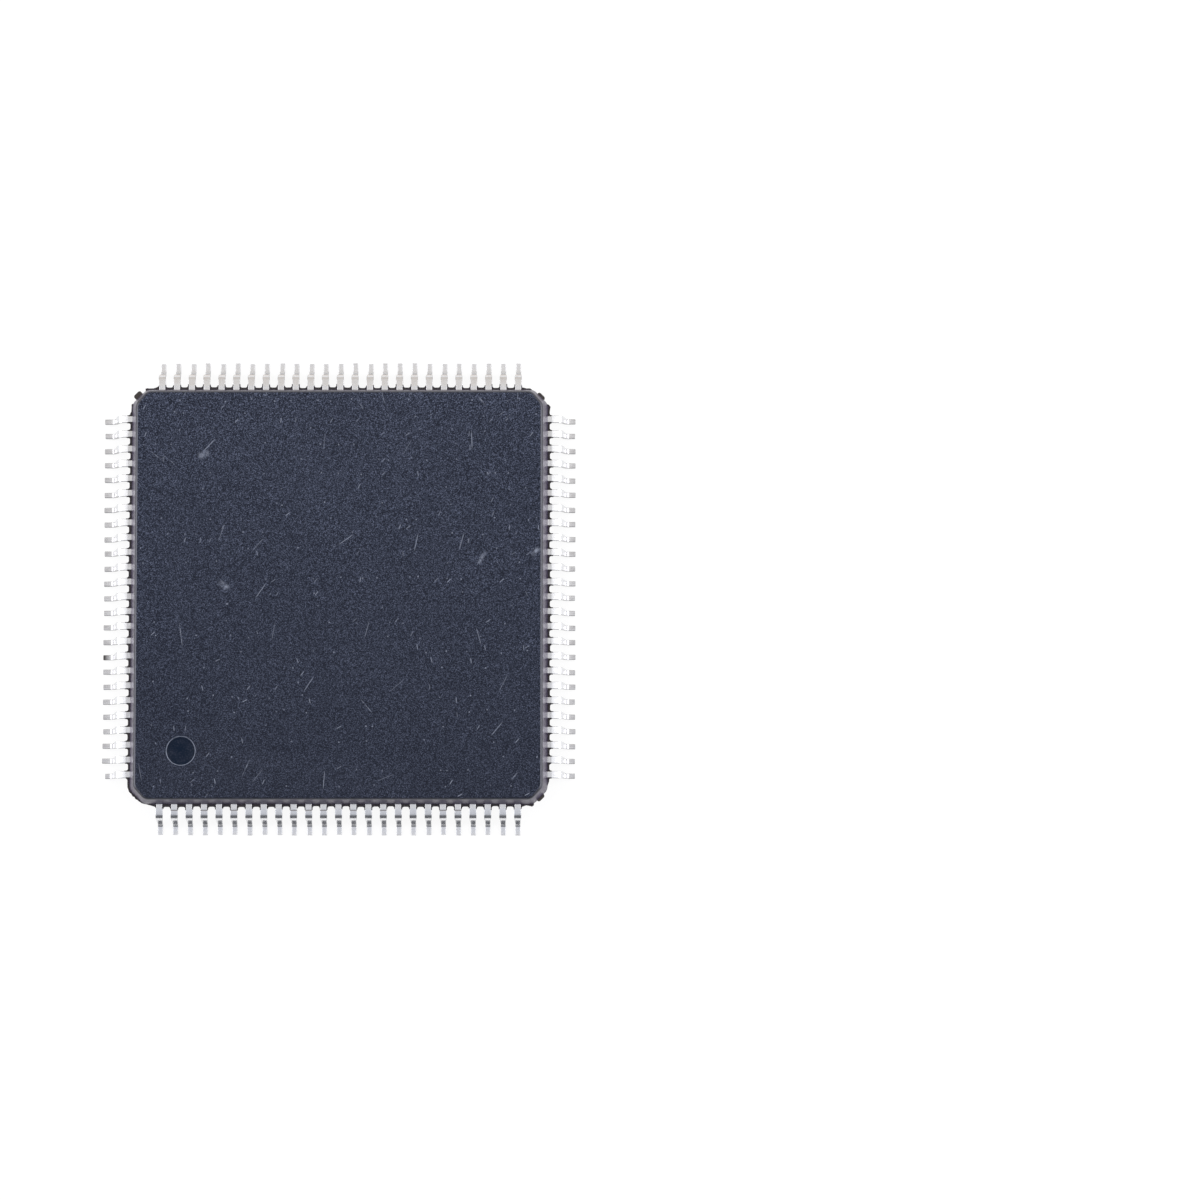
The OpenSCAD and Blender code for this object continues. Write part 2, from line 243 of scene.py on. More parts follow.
class Finish:
    """The node tree of a material or a world, grown by expressions."""

    def __init__(self, block):
        block.use_nodes = True
        self.block = block
        self.tree = block.node_tree
        self.tree.nodes.clear()

    def node(self, kind, settings=None, sockets=None, out=0):
        """Adds a node, sets its settings, then its sockets by value or link, and gives one output."""
        made = self.tree.nodes.new(kind)
        for name, value in (settings or {}).items():
            setattr(made, name, value)
        for name, value in (sockets or {}).items():
            if isinstance(value, Wire):
                self.tree.links.new(value.socket, made.inputs[name])
            else:
                made.inputs[name].default_value = value
        return Wire(self, made.outputs[out]) if made.outputs else None

    def place(self):
        """The point on the surface, in millimetres."""
        at = self.node("ShaderNodeTexCoord", out="Object")
        return self.node("ShaderNodeVectorMath", {"operation": "SCALE"}, {0: at, "Scale": 1 / MM})

    def parts(self, vector):
        """The three numbers of a vector."""
        x = self.node("ShaderNodeSeparateXYZ", {}, {0: vector})
        return x, x.beside("Y"), x.beside("Z")

    def maths(self, operation, first, second=0.0):
        return self.node("ShaderNodeMath", {"operation": operation}, {0: first, 1: second})

    def vector(self, operation, first, second=(0, 0, 0)):
        return self.node("ShaderNodeVectorMath", {"operation": operation}, {0: first, 1: second})

    def noise(self, place, scale, detail, roughness):
        """Soft noise from 0 to 1, with scale in blobs a millimetre."""
        sockets = {"Vector": place, "Scale": scale, "Detail": detail, "Roughness": roughness}
        return self.node("ShaderNodeTexNoise", {}, sockets)

    def ramp(self, value, low, high, start=0.0, end=1.0):
        """Runs smoothly from start to end while value goes from low to high."""
        sockets = {"Value": value, "From Min": low, "From Max": high, "To Min": start, "To Max": end}
        return self.node("ShaderNodeMapRange", {"interpolation_type": "SMOOTHSTEP"}, sockets)

    def most(self, first, second):
        return self.maths("MAXIMUM", first, second)

    def blend(self, factor, first, second):
        """Mixes two colours."""
        sockets = {0: factor, 6: opaque(first), 7: opaque(second)}
        return self.node("ShaderNodeMix", {"data_type": "RGBA"}, sockets, 2)

    def bump(self, height, depth):
        """Normals of a relief whose height runs from 0 to 1 over a depth in metres."""
        return self.node("ShaderNodeBump", {}, {"Height": height, "Distance": depth, "Strength": 1.0})

    def surface(self, **sockets):
        """Ends the tree in one shader, with sockets named in lower case, and gives the material."""
        named = {}
        for name, value in sockets.items():
            named[name.replace("_", " ").title().replace("Ior", "IOR")] = value
        shader = self.node("ShaderNodeBsdfPrincipled", {}, named)
        self.node("ShaderNodeOutputMaterial", {}, {"Surface": shader})
        return self.block


def opaque(value):
    """A colour with its alpha, or a link as it is."""
    return value if isinstance(value, Wire) else (*value, 1.0)


def new_finish(name):
    """The empty tree of a new material."""
    return Finish(bpy.data.materials.new(name))


def cells(finish, place, width):
    """A random colour for each cell of a pattern, with the cell's own point in the output Position."""
    sockets = {"Vector": place, "Scale": 1 / width}
    return finish.node("ShaderNodeTexVoronoi", {"voronoi_dimensions": "2D"}, sockets, "Color")


def along_and_across(finish, local, cosine, sine):
    """How far a point, taken from the middle of a turned mark, lies along and across the mark."""
    x, y, _ = finish.parts(local)
    return abs(x * cosine + y * sine), abs(y * cosine - x * sine)


def scratches(finish, place, cell, reach, width, share):
    """Mask of short straight scratches, at most one in each cell, each turned its own way."""
    chance = cells(finish, place, cell)
    turn, present, strength = finish.parts(chance)
    turn = (0.12 + 0.5 * turn) * math.pi
    cosine = finish.maths("COSINE", turn)
    sine = finish.maths("SINE", turn)
    local = finish.vector("SUBTRACT", place, chance.beside("Position"))
    along, across = along_and_across(finish, local, cosine, sine)
    line = finish.ramp(across, width, width * 0.3) * finish.ramp(along, reach, reach * 0.5)
    return line * (present < share) * (0.35 + 0.65 * strength)


def scuff(finish, place, ragged, at, turn, reach, width):
    """Mask of one pale mark, broken up by noise."""
    turn = math.radians(turn)
    local = finish.vector("SUBTRACT", place, (*at, 0))
    along, across = along_and_across(finish, local, math.cos(turn), math.sin(turn))
    return finish.ramp(across, width, 0) * finish.ramp(along, reach, reach * 0.4) * ragged


# Width of a grain of the resin's faces, in millimetres
GRAIN = 0.02
# Scratches on the faces, as (width of a cell, half length, half width, share of cells with one)
SCRATCHES = ((0.45, 0.11, 0.020, 0.10), (1.6, 0.34, 0.018, 0.30), (0.5, 0.03, 0.03, 0.25))
# Pale marks on the top face, as (place in millimetres, turn in degrees, half length, half width)
SCUFFS = (
    ((-5.27, -1.35), -82, 0.52, 0.022),
    ((-4.55, 4.72), 20, 0.24, 0.16),
    ((-3.85, 0.30), -35, 0.26, 0.15),
    ((4.80, 1.24), 60, 0.30, 0.10),
    ((6.60, 1.45), 50, 0.22, 0.12),
    ((-5.50, 6.15), -35, 0.10, 0.035),
    ((0.95, -3.75), -50, 0.36, 0.02),
    ((-3.08, -5.85), 65, 0.40, 0.022),
    ((4.80, 6.52), -50, 0.20, 0.04),
    ((0.75, 6.35), -60, 0.14, 0.03),
    ((5.90, -6.10), 48, 0.20, 0.03),
    ((-3.73, -0.32), 0, 0.05, 0.045),
    ((-6.10, 4.65), -38, 0.34, 0.018),
    ((-5.72, 4.55), -38, 0.30, 0.016),
    ((5.45, 6.10), 36, 0.16, 0.022),
    ((5.68, 6.02), 40, 0.11, 0.022),
    ((5.62, 5.90), 44, 0.08, 0.030),
)


def matte_resin(colours):
    """Spark-eroded resin of the two faces: light grain, faint clouds, scratches and scuffs, and painted
    light that grows towards the back.
    """
    finish = new_finish("matte_resin")
    place = finish.place()
    grit = finish.parts(cells(finish, place, GRAIN))[0]
    grain = finish.noise(place, 26, 1, 0.6)
    cloud = finish.noise(place, 0.45, 3, 0.55)
    ragged = finish.ramp(finish.noise(place, 7, 3, 0.7), 0.42, 0.62, 0.25, 1.0)
    marks = [scratches(finish, place, *kind) for kind in SCRATCHES]
    marks += [scuff(finish, place, ragged, *mark) for mark in SCUFFS]
    # Painted light: the faces grow lighter towards the back
    painted_light_to_back = finish.parts(place)[1] * 0.032
    tone = grit ** 3.5 * (0.63 + 0.3 * cloud + painted_light_to_back)
    skin = finish.blend(tone, colours.pit, colours.grain)
    skin = finish.blend(reduce(finish.most, marks) * 0.65, skin, colours.scuff)
    return finish.surface(
        base_color=skin,
        roughness=finish.ramp(grain, 0.3, 0.7, 0.52, 0.7),
        specular_ior_level=0.25,
        normal=finish.bump(grain, 0.004 * MM),
    )


def wall_resin(colours):
    """Resin of the slanted walls: smoother than the faces, with faint drag lines from the mould."""
    finish = new_finish("wall_resin")
    place = finish.place()
    grain = finish.noise(place, 9, 2, 0.6)
    stretched = finish.vector("MULTIPLY", place, (6, 6, 0.8))
    drag = finish.noise(stretched, 1.6, 2, 0.6)
    tone = finish.ramp(grain * 0.5 + drag * 0.5, 0.35, 0.75)
    skin = finish.blend(tone * 0.06, colours.wall, colours.scuff)
    return finish.surface(
        base_color=skin,
        roughness=finish.ramp(drag, 0.3, 0.7, 0.34, 0.44),
        specular_ior_level=0.9,
        normal=finish.bump(drag * 0.6 + grain * 0.4, 0.0008 * MM),
    )


def rim_resin(colours):
    """Dark smooth resin on the rounded edges between the walls and the faces."""
    finish = new_finish("rim_resin")
    grain = finish.noise(finish.place(), 12, 2, 0.6)
    skin = finish.blend(finish.ramp(grain, 0.45, 0.8) * 0.5, colours.rim, colours.wall)
    return finish.surface(
        base_color=skin,
        roughness=finish.ramp(grain, 0.3, 0.7, 0.30, 0.42),
        specular_ior_level=1.0,
        specular_tint=(0.89, 0.91, 1.0, 1.0),
    )


def polished_resin(colours):
    """Mirror-like resin left by polished pins in the mould, with pale rims painted on as a highlight."""
    finish = new_finish("polished_resin")
    place = finish.place()
    haze = finish.noise(place, 5, 3, 0.6)
    normal = finish.node("ShaderNodeNewGeometry", out="Normal")
    # Painted highlight: where the surface turns away from upright, on the rims, it is blended towards the
    # pale scuff colour
    rim_highlight = finish.ramp(abs(finish.parts(normal)[2]), 0.98, 0.6)
    dust = finish.ramp(finish.noise(place, 18, 2, 0.6), 0.45, 0.75)
    skin = finish.blend(finish.ramp(haze, 0.4, 0.8) * 0.5 + dust, colours.polish, colours.haze)
    skin = finish.blend(rim_highlight * finish.ramp(haze, 0.3, 0.6, 0.5, 1.0), skin, colours.scuff)
    return finish.surface(
        base_color=skin,
        roughness=finish.ramp(haze, 0.3, 0.8, 0.16, 0.30),
        specular_ior_level=0.1,
        normal=finish.bump(haze, 0.001 * MM),
    )


def flash_resin(colours):
    """Dark torn resin between the leads."""
    finish = new_finish("flash_resin")
    place = finish.place()
    torn = finish.noise(place, 14, 3, 0.65)
    skin = finish.blend(finish.ramp(torn, 0.4, 0.8) * 0.5, colours.flash, colours.wall)
    return finish.surface(
        base_color=skin,
        roughness=finish.ramp(torn, 0.3, 0.7, 0.5, 0.8),
        normal=finish.bump(torn, 0.010 * MM),
    )


def crease(finish, reach, at):
    """Mask of a thin line across a lead, at a distance from the body in millimetres."""
    return finish.ramp(abs(reach - at), 0.03, 0.01)


def tin_plating(colours, half):
    """Matte tin with drawn lines, combed marks on the necks left and right, painted shade on the feet left
    and right and on the sides of every lead, and stains with painted shade at the bends at the back.
    """
    finish = new_finish("tin_plating")
    place = finish.place()
    x, y, z = finish.parts(place)
    edge = half / MM
    reach = finish.most(abs(x), abs(y)) - edge
    across = finish.maths("MINIMUM", abs(x), abs(y))
    tone = finish.node("ShaderNodeAttribute", {"attribute_name": TONE}, out="Fac")
    burnt = finish.node("ShaderNodeAttribute", {"attribute_name": BURNT}, out="Fac")
    drawn = finish.node("ShaderNodeCombineXYZ", {}, {0: reach * 3, 1: across * 46, 2: z * 3})
    lines = finish.noise(drawn, 1, 2, 0.5)
    trimmed = finish.node("ShaderNodeCombineXYZ", {}, {0: reach * 38, 1: across * 4, 2: z * 3})
    combed = finish.noise(trimmed, 1, 2, 0.5)
    mottle = finish.noise(place, 15, 3, 0.65)
    patch = finish.noise(place, 9, 2, 0.55)
    speck = finish.ramp(finish.noise(place, 26, 2, 0.6), 0.60, 0.70)
    back = finish.ramp(y, edge - 0.1, edge)
    front = finish.ramp(y, 0.1 - edge, -edge)
    sides = 1 - back - front

    # Stretches of a lead, by their distance from the body in millimetres
    neck = finish.ramp(reach, 0.14, 0.11)
    foot = finish.ramp(reach, 0.645, 0.685)
    shoulder = finish.ramp(reach, 0.10, 0.16) * finish.ramp(reach, 0.60, 0.50)
    end = finish.ramp(reach, 0.955, 0.985)
    # Painted shade: two dark bands at the first bend, used on the back row only
    bend_shade = finish.most(crease(finish, reach, 0.40) * 0.5, crease(finish, reach, 0.52) * 1.5)

    patches = finish.ramp(patch + 0.2 * tone, 0.45, 0.8) * shoulder * 0.25
    # Stains on the back row's shoulders, together with the painted shade at its bends
    stain_and_bend_shade = finish.most(patches, bend_shade) * back * 0.5
    combs = neck * finish.ramp(combed, 0.35, 0.65, 0.05, 0.35)
    # Combed marks on the necks, and painted shade that darkens the feet, on the left and right rows only
    soil_and_shade = sides * (combs + foot * finish.ramp(lines, 0.3, 0.7, 0.2, 0.55))
    dirt_and_side_shade = finish.most(soil_and_shade, speck * (neck * 0.35 + foot * 0.25))
    dirt_and_side_shade = finish.most(dirt_and_side_shade, crease(finish, reach, 0.2) * front * (tone > 0.7))
    dirt_and_side_shade = finish.most(dirt_and_side_shade, finish.ramp(mottle, 0.45, 0.75) * (0.25 - 0.17 * sides))
    # Painted shade: the upright sides of every lead are darkened with the dark cut-end colour
    facing = finish.node("ShaderNodeNewGeometry", out="Normal")
    east, north, _ = finish.parts(finish.vector("ABSOLUTE", facing))
    flank = finish.ramp(sides * north + (1 - sides) * east, 0.3, 0.7)
    tip = end * finish.ramp(patch, 0.35, 0.6) * 0.5
    skin = finish.blend(stain_and_bend_shade, colours.tin, colours.stain_and_bend_shade)
    skin = finish.blend(finish.most(dirt_and_side_shade, tip), skin, colours.soil_and_shade)
    skin = finish.blend(flank * 0.75, skin, colours.tarnish_and_shade)
    skin = finish.blend(burnt * finish.ramp(patch, 0.3, 0.5), skin, colours.tarnish_and_shade)
    return finish.surface(
        base_color=skin,
        metallic=1.0,
        roughness=finish.ramp(mottle, 0.3, 0.7, 0.16, 0.28),
        normal=finish.bump(lines * 0.5 + mottle * 0.5, 0.0008 * MM),
    )


def frame_copper(colours, half):
    """Rolled copper of the chip pad, tarnished where its bars were cut outside the body."""
    finish = new_finish("frame_copper")
    place = finish.place()
    x, y, _ = finish.parts(place)
    rolled = finish.noise(finish.vector("MULTIPLY", place, (1, 12, 12)), 2, 2, 0.5)
    corner = 2 * half / MM
    outside = finish.ramp(abs(x) + abs(y), corner - 0.75, corner - 0.65)
    skin = finish.blend(rolled * 0.4, colours.copper, colours.stain_and_bend_shade)
    skin = finish.blend(outside, skin, colours.tarnish_and_shade)
    return finish.surface(
        base_color=skin,
        metallic=1 - 0.8 * outside,
        roughness=finish.ramp(rolled, 0.3, 0.7, 0.28, 0.45),
        normal=finish.bump(rolled, 0.002 * MM),
    )


def silver_glue(colours):
    """Grey glue full of silver flakes."""
    finish = new_finish("silver_glue")
    flakes = finish.noise(finish.place(), 30, 2, 0.6)
    skin = finish.blend(finish.ramp(flakes, 0.4, 0.7), colours.glue, colours.tin)
    return finish.surface(base_color=skin, metallic=finish.ramp(flakes, 0.45, 0.6, 0.2, 0.9), roughness=0.5)


def silicon_face(colours):
    """Glossy silicon with faint blocks of circuit lines."""
    finish = new_finish("silicon_face")
    place = finish.place()
    settings = {"distance": "CHEBYCHEV"}
    blocks = finish.node("ShaderNodeTexVoronoi", settings, {"Vector": place, "Scale": 1.4}, "Color")
    lines = finish.noise(finish.vector("MULTIPLY", place, (1, 14, 1)), 3, 1, 0.5)
    tint = finish.parts(blocks)[0]
    skin = finish.blend(tint * 0.4 + lines * 0.2, colours.silicon, colours.glue)
    return finish.surface(base_color=skin, metallic=0.3, roughness=finish.ramp(lines, 0.3, 0.7, 0.12, 0.25))


def gold_wire(colours):
    """Drawn gold with faint draw marks."""
    finish = new_finish("gold_wire")
    drawn = finish.noise(finish.place(), 40, 2, 0.5)
    skin = finish.blend(drawn * 0.3, colours.gold, colours.copper)
    return finish.surface(base_color=skin, metallic=1.0, roughness=finish.ramp(drawn, 0.3, 0.7, 0.18, 0.3))


def heading(turn):
    """The level direction at an angle from +X."""
    return Vector((math.cos(turn), math.sin(turn)))


def turned(at, side):
    """A point or direction given for the east side, turned to the side with that number."""
    return Matrix.Rotation(QUARTER * side, 2) @ Vector(at)


def even_steps(start, end, count):
    """Numbers from start to end in as many even steps, with both ends."""
    return [start + (end - start) * i / count for i in range(count + 1)]


def level_loop(bm, points, z):
    """New verts at some level points, all at one height."""
    return [bm.verts.new((point.x, point.y, z)) for point in points]


def smooth_piece(name, bm, materials, node, sharp):
    """Makes a bmesh a piece that stands for a node, with edges past an angle in degrees left sharp."""
    mesh = bpy.data.meshes.new(name)
    bm.to_mesh(mesh)
    bm.free()
    for material in materials:
        mesh.materials.append(material)
    mesh.shade_smooth()
    mesh.set_sharp_from_angle(angle=math.radians(sharp))
    piece = bpy.data.objects.new(name, mesh)
    bpy.context.scene.collection.objects.link(piece)
    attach(piece, BODY)
    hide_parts(node)
    return piece


def dress(node, material):
    """Gives a packed node its finish."""
    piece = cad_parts[node]
    piece.data.materials.clear()
    piece.data.materials.append(material)
    return piece


def loop_edges(bm, verts):
    """The edges of a closed loop of verts, made where they are missing."""
    pairs = zip(verts, verts[1:] + verts[:1])
    return [bm.edges.get(pair) or bm.edges.new(pair) for pair in pairs]


def skin_between(bm, first, second, finish_number):
    """Quads between two closed loops with as many verts."""
    count = len(first)
    for i in range(count):
        j = (i + 1) % count
        bm.faces.new((first[i], first[j], second[j], second[i])).material_index = finish_number


# A point on the parting line: its place, the way out, and its drift as the wall slants in
Stop = namedtuple("Stop", ("at", "out", "drift"), defaults=(None,))


class MouldedBody:
    """Makes the outer skin of the moulded body in one closed mesh."""

    MATTE, WALL, RIM, POLISH, FLASH = range(5)
    # Edges past this angle, in degrees, stay sharp
    SHARP = 35
    SEED = 11
    ARC_STEPS = 6
    GATE_STEPS = 12
    GATE_STOPS = 5
    EDGE_STEPS = 5
    RIM_STEPS = 3
    ROUND_STEPS = 56
    SUPPORT = 0.02 * MM
    # The gate scar is on the corner at the far end of this side
    GATE_SIDE = SIDES.index("west")
    # Flash beside the corners, as (share of the strip's length, reach in corner reaches)
    FILLET = ((0.0, 2.7), (0.05, 2.6), (0.10, 1.7), (0.2, 1.15))
    STRIP_ENDS = {
        "point": ((0.5, 0.95), (0.8, 0.8), (0.93, 0.4)),
        "hook": ((0.4, 0.7), (0.74, 0.75), (0.82, 1.2), (0.94, 1.25), (1.0, 0.7)),
        "thin": ((0.35, 0.6), (0.7, 0.65), (0.92, 0.85), (1.0, 0.5)),
        "bulge": ((0.35, 1.15), (0.55, 1.35), (0.75, 1.4), (0.9, 1.0)),
        "blob": ((0.4, 0.55), (0.65, 0.75), (0.8, 1.3), (0.93, 1.2)),
        "merge": ((0.3, 1.35), (0.6, 1.2), (0.85, 1.1), (1.0, 1.0)),
        "taper": ((0.35, 0.9), (0.6, 0.6), (0.85, 0.25)),
    }
    # For each side in turn, the strips at its far and near ends and how many arc stops they run over
    STRIPS = (
        (("bulge", 3), ("taper", 0)),
        (("hook", 4), ("point", 2)),
        (("merge", 6), ("thin", 3)),
        (("blob", 4), ("taper", 1)),
    )

    def __init__(self, body, flash, leads):
        self.body = body
        self.flash = flash
        self.leads = leads
        self.half = body.width / 2
        self.band_high = LEAD_HIGH.z
        self.band_low = LEAD_HIGH.z - leads.thickness
        self.chance = random.Random(self.SEED)
        self.bm = bmesh.new()

    def side_stops(self, side):
        """The two edges of each lead on one side."""
        stops = []
        for i in range(self.leads.count):
            middle = (i - (self.leads.count - 1) / 2) * self.leads.pitch
            for edge in (-1, 1):
                at = (self.half, middle + edge * self.leads.neck_width / 2)
                stops.append(Stop(turned(at, side), turned((1, 0), side)))
        return stops

    def corner_arcs(self, corner):
        """The two rounded edges of a chamfer."""
        rounding = self.body.corner_round
        tangent = rounding * math.tan(EIGHTH / 2)
        near = self.half - self.body.corner_leg - tangent
        centres = (Vector((self.half - rounding, near)), Vector((near, self.half - rounding)))
        arcs = []
        for number, centre in enumerate(centres):
            drift = heading(EIGHTH * (number + 0.5)) / math.cos(EIGHTH / 2)
            arc = []
            for turn in even_steps(EIGHTH * number, EIGHTH * (number + 1), self.ARC_STEPS):
                way = heading(turn)
                stop = (centre + rounding * way, way, drift)
                arc.append(Stop(*(turned(item, corner) for item in stop)))
            arcs.append(arc)
        return arcs

    def vary(self, size):
        """A broken edge's reach, a little more or less than its size."""
        return size * (1 + self.chance.uniform(-self.flash.ragged, self.flash.ragged))

    def slot_outline(self, start, end):
        """Outline of the flash between two leads, round the slot that the trimming punch left."""
        along = (end.at - start.at).normalized()
        width = (end.at - start.at).length
        flash = self.flash
        radius = min(flash.slot_round, width / 2 - flash.flank_thickness)
        out = self.vary(flash.out)
        flanks = [self.vary(flash.flank_out), self.vary(flash.flank_out)]
        floor = out + radius
        inner = flash.flank_thickness + radius
        turns = even_steps(0, QUARTER, self.ARC_STEPS)
        arc = [(inner - radius * math.cos(t), floor - radius * math.sin(t)) for t in turns]
        first, second = [[(0, flank), (flash.flank_thickness, flank), *arc] for flank in flanks]
        shape = first + [(width - a, b) for a, b in reversed(second)]
        return [start.at + along * a + start.out * b for a, b in shape]

    def strip_outline(self, base, profile):
        """Outline of a strip of flash along some stops, from a profile of its reach."""
        lengths = [0.0]
        for first, second in zip(base, base[1:]):
            lengths.append(lengths[-1] + (second.at - first.at).length)
        outline = []
        for share, reach in profile:
            goal = share * lengths[-1]
            i = max(k for k in range(len(base) - 1) if lengths[k] <= goal or k == 0)
            part = (goal - lengths[i]) / (lengths[i + 1] - lengths[i])
            at = base[i].at.lerp(base[i + 1].at, part)
            out = base[i].out.lerp(base[i + 1].out, part).normalized()
            outline.append(at + out * self.vary(reach * self.flash.corner_out))
        return outline

    def gate_profile(self):
        """Ragged profile of the gate scar, in corner reaches."""
        full = self.flash.gate_out / self.flash.corner_out
        shares = even_steps(0, 1, self.GATE_STEPS)[:-1]
        return [(share, full * self.chance.uniform(0.6, 1.0) * (1 - share ** 3)) for share in shares]

    def parting_line(self):
        """All stops round the body, and the flash as {first stop: (last stop, outline)}."""
        stops, starts = [], []
        for side in range(4):
            starts.append(len(stops))
            stops += self.side_stops(side)
            for arc in self.corner_arcs(side):
                stops += arc
        gate = starts[self.GATE_SIDE] + 2 * self.leads.count + self.ARC_STEPS
        gate_end = gate + self.GATE_STOPS
        flash = {gate: (gate_end, self.strip_outline(stops[gate:gate_end + 1], self.gate_profile()))}
        for side, start in enumerate(starts):
            for i in range(start + 1, start + 2 * self.leads.count - 1, 2):
                flash[i] = (i + 1, self.slot_outline(stops[i], stops[i + 1]))
            self.add_strips(stops, flash, side, start)
        return stops, flash

    def add_strips(self, stops, flash, side, start):
        """The strips of flash from a side's first and last leads to the corners."""
        (far_kind, far_stops), (near_kind, near_stops) = self.STRIPS[side]
        last = start + 2 * self.leads.count - 1
        far_end = last + 1 + far_stops
        profile = self.FILLET + self.STRIP_ENDS[far_kind]
        flash[last] = (far_end, self.strip_outline(stops[last:far_end + 1], profile))
        first = start - 1 - near_stops
        base = [stops[i] for i in range(start, first - 1, -1)]
        outline = self.strip_outline(base, self.FILLET + self.STRIP_ENDS[near_kind])
        flash[first % len(stops)] = (start, outline[::-1])

    def wall_levels(self, band, face):
        """(run in, height) of each loop from the parting line up or down to a face."""
        body = self.body
        up = math.copysign(1, face - band)
        run = abs(face - band) * math.tan(body.draft)
        centre_in = run + body.edge_round * math.tan((QUARTER - body.draft) / 2)
        centre_z = face - up * body.edge_round
        levels = []
        for turn in even_steps(body.draft, QUARTER, self.EDGE_STEPS):
            z = centre_z + up * body.edge_round * math.sin(turn)
            levels.append((centre_in - body.edge_round * math.cos(turn), z))
        first_in, first_z = levels[0]
        slide = self.SUPPORT / abs(first_z - band)
        levels.insert(0, (first_in * (1 - slide), first_z + (band - first_z) * slide))
        levels.append((centre_in + self.SUPPORT, face))
        return levels

    def wall(self, stops, base, band, face):
        """The slanted wall and its rounded edge, as far as a face. Gives the loop round the face."""
        corners = [i for i, stop in enumerate(stops) if stop.drift]
        share = Vector((self.body.side_run, self.body.end_run))
        loops = []
        for run_in, z in self.wall_levels(band, face):
            places = [stops[i].at - stops[i].drift * share * run_in for i in corners]
            loops.append(level_loop(self.bm, places, z))
        count = len(corners)
        for k in range(count):
            first, second = corners[k], corners[(k + 1) % count]
            span = (second - first) % len(stops)
            foot = [base[(first + i) % len(stops)] for i in range(span + 1)]
            head = [loops[0][(k + 1) % count], loops[0][k]]
            self.bm.faces.new(foot + head).material_index = self.WALL
        finishes = [self.WALL] + [self.RIM] * (self.EDGE_STEPS - 1) + [self.MATTE] * 2
        for lower, upper, finish in zip(loops, loops[1:], finishes):
            skin_between(self.bm, lower, upper, finish)
        return loops[-1]

    def band(self, stops, flash):
        """The upright band at the parting line, with the flash. Gives its lower and upper stops."""
        bm = self.bm
        places = [stop.at for stop in stops]
        low = level_loop(bm, places, self.band_low)
        high = level_loop(bm, places, self.band_high)
        covered = set()
        for first, (last, outline) in flash.items():
            span = (last - first) % len(stops)
            base = [(first + i) % len(stops) for i in range(span + 1)]
            covered.update(base[:-1])
            rims = []
            for verts, z in ((low, self.band_low), (high, self.band_high)):
                rim = level_loop(bm, outline, z)
                ledge = [verts[i] for i in base] + rim[::-1]
                bm.faces.new(ledge).material_index = self.FLASH
                rims.append([verts[base[0]], *rim, verts[base[-1]]])
            for i in range(len(rims[0]) - 1):
                wall = (rims[0][i], rims[0][i + 1], rims[1][i + 1], rims[1][i])
                bm.faces.new(wall).material_index = self.FLASH
        for i in range(len(stops)):
            if i not in covered:
                j = (i + 1) % len(stops)
                bm.faces.new((low[i], low[j], high[j], high[i])).material_index = self.FLASH
        return low, high

    def recess(self, outline, face, depth, inward):
        """A shallow mark with a rounded rim and floor. outline(grow) gives its points, grown."""
        radius = self.body.rim_round
        turns = even_steps(0, QUARTER, self.RIM_STEPS)
        steps = [(radius * (1 - math.sin(t)), radius * (1 - math.cos(t))) for t in turns]
        steps += [(-radius * (1 - math.cos(t)), depth - radius * (1 - math.sin(t))) for t in turns]
        loops = []
        for grow, sunk in steps:
            loops.append(level_loop(self.bm, outline(grow), face + inward * sunk))
        for first, second in zip(loops, loops[1:]):
            skin_between(self.bm, first, second, self.POLISH)
        self.bm.faces.new(loops[-1]).material_index = self.POLISH
        return loops[0]

    def round_mark(self, centre, width):
        """Outline of a round mark."""
        turns = even_steps(0, WHOLE, self.ROUND_STEPS)[:-1]
        return lambda grow: [centre + (width / 2 + grow) * heading(turn) for turn in turns]

    def half_mark(self, centre, width, way):
        """Outline of the half of a round mark on one side of the bar across it."""
        bar = self.body.ejector_bar / 2
        steps = self.ROUND_STEPS // 2

        def outline(grow):
            radius = width / 2 + grow
            start = math.asin((bar - grow) / radius)
            turns = even_steps(start, math.pi - start, steps)
            return [centre + radius * heading(turn) * way for turn in turns]

        return outline

    def close_face(self, rim, holes):
        """Fills a face between its rim and the holes in it."""
        edges = loop_edges(self.bm, rim)
        for hole in holes:
            edges += loop_edges(self.bm, hole)
        made = bmesh.ops.triangle_fill(self.bm, use_beauty=True, edges=edges)
        for item in made["geom"]:
            if isinstance(item, bmesh.types.BMFace):
                item.material_index = self.MATTE

    def build(self):
        """The whole skin."""
        body = self.body
        stops, flash = self.parting_line()
        low, high = self.band(stops, flash)
        top_rim = self.wall(stops, high, self.band_high, BODY_HIGH.z)
        bottom_rim = self.wall(stops, low, self.band_low, BODY_LOW.z)
        inset = self.half - body.mark_inset
        index = Vector((-inset, -inset))
        dimple = self.round_mark(index, body.dimple_width)
        dimple_rim = self.recess(dimple, BODY_HIGH.z, body.dimple_depth, -1)
        self.close_face(top_rim, [dimple_rim])
        ways = (-1, 1)
        marks = [self.round_mark(Vector((way, -way)) * inset, body.ejector_width) for way in ways]
        marks += [self.half_mark(index, body.small_ejector_width, way) for way in ways]
        rims = [self.recess(mark, BODY_LOW.z, body.ejector_depth, 1) for mark in marks]
        self.close_face(bottom_rim, rims)
        bmesh.ops.recalc_face_normals(self.bm, faces=self.bm.faces)
        return self.bm


